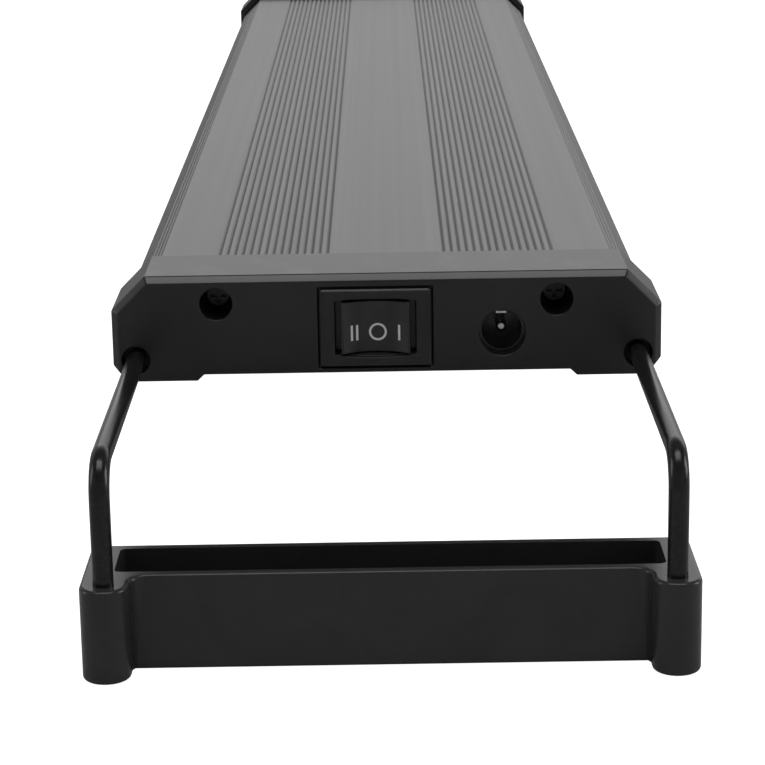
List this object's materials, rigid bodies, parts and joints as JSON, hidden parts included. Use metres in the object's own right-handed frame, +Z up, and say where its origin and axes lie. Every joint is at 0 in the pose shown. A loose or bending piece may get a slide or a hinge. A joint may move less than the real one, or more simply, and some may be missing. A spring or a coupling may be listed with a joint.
{
  "type": "led aquarium light",
  "caption": "Bar-shaped LED aquarium light: ribbed aluminium housing with plastic end caps, rocker switch and power inlet, on sliding wire brackets with rim feet.",
  "frame": {"origin": "centre of the footprint, on the surface that the feet rest on", "axes": "+Z up, +X across the light to the right seen from the switch end, -Y out of the switch end along the light"},
  "size_m": [0.1042, 0.6342, 0.0531],
  "materials": {
    "anodised_aluminium": "satin, dark grey anodised",
    "clear_acrylic": "clear, smooth",
    "board_white": "white solder mask",
    "led_white": "phosphor yellow",
    "led_blue": "clear dome on white",
    "steel": "plain",
    "black_steel": "black zinc",
    "ceramic_black": "matt",
    "cap_plastic": "fine satin moulding",
    "foot_plastic": "fine satin moulding",
    "leg_paint": "semi-gloss black",
    "nylon": "natural nylon",
    "black_nylon": "self-lubricating black nylon",
    "switch_plastic": "matt",
    "rocker_plastic": "satin",
    "jack_plastic": "satin",
    "brass": "plain",
    "wire_red": "soft sheath",
    "wire_black": "soft sheath",
    "wire_white": "soft sheath",
    "wire_blue": "soft sheath",
    "mark_paint": "pad-printed light grey",
    "led_silicone": "soft domed filling"
  },
  "bodies": {
    "housing": {"housing_extrusion": "anodised_aluminium", "lens_cover": "clear_acrylic", "led_board": "board_white", "white_leds": "led_white", "blue_leds": "led_blue", "board_screws": "steel", "resistors": "ceramic_black", "front_end_cap": "cap_plastic", "rear_end_cap": "cap_plastic", "front_cap_screws": "black_steel", "rear_cap_screws": "black_steel", "front_leg_bushes": "black_nylon", "rear_leg_bushes": "black_nylon", "switch_housing": "switch_plastic", "switch_terminals": "brass", "dc_jack_body": "jack_plastic", "dc_jack_pin": "steel", "dc_jack_contact": "steel", "dc_jack_lock_ring": "jack_plastic", "wire_inlet_positive": "wire_red", "wire_inlet_negative": "wire_black", "wire_white_leds": "wire_white", "wire_blue_leds": "wire_blue"},
    "rocker": {"switch_rocker": "rocker_plastic", "switch_plunger": "nylon", "switch_spring": "steel"},
    "contact_blade": {"switch_contact_blade": "brass"},
    "front_bracket": {"front_leg_left": "leg_paint", "front_leg_right": "leg_paint", "front_foot": "foot_plastic"},
    "rear_bracket": {"rear_leg_left": "leg_paint", "rear_leg_right": "leg_paint", "rear_foot": "foot_plastic"}
  },
  "joints": [
    {"name": "front_bracket_slide", "type": "slide", "parent": "housing", "child": "front_bracket", "axis": [0, -1, 0], "range_m": [-0.058, 0.042]},
    {"name": "rear_bracket_slide", "type": "slide", "parent": "housing", "child": "rear_bracket", "axis": [0, 1, 0], "range_m": [-0.058, 0.042]},
    {"name": "rocker_tilt", "type": "hinge", "parent": "housing", "child": "rocker", "pos_m": [-0.0021, -0.2404, 0.04275], "axis": [0, 0, 1], "range_deg": [-9, 9]},
    {"name": "contact_blade_tilt", "type": "hinge", "parent": "housing", "child": "contact_blade", "pos_m": [-0.0021, -0.23432, 0.04275], "axis": [0, 0, 1], "range_deg": [-7, 7]}
  ],
  "couplings": [
    {"joint": "contact_blade_tilt", "follows": "rocker_tilt", "ratio": -0.7775}
  ]
}
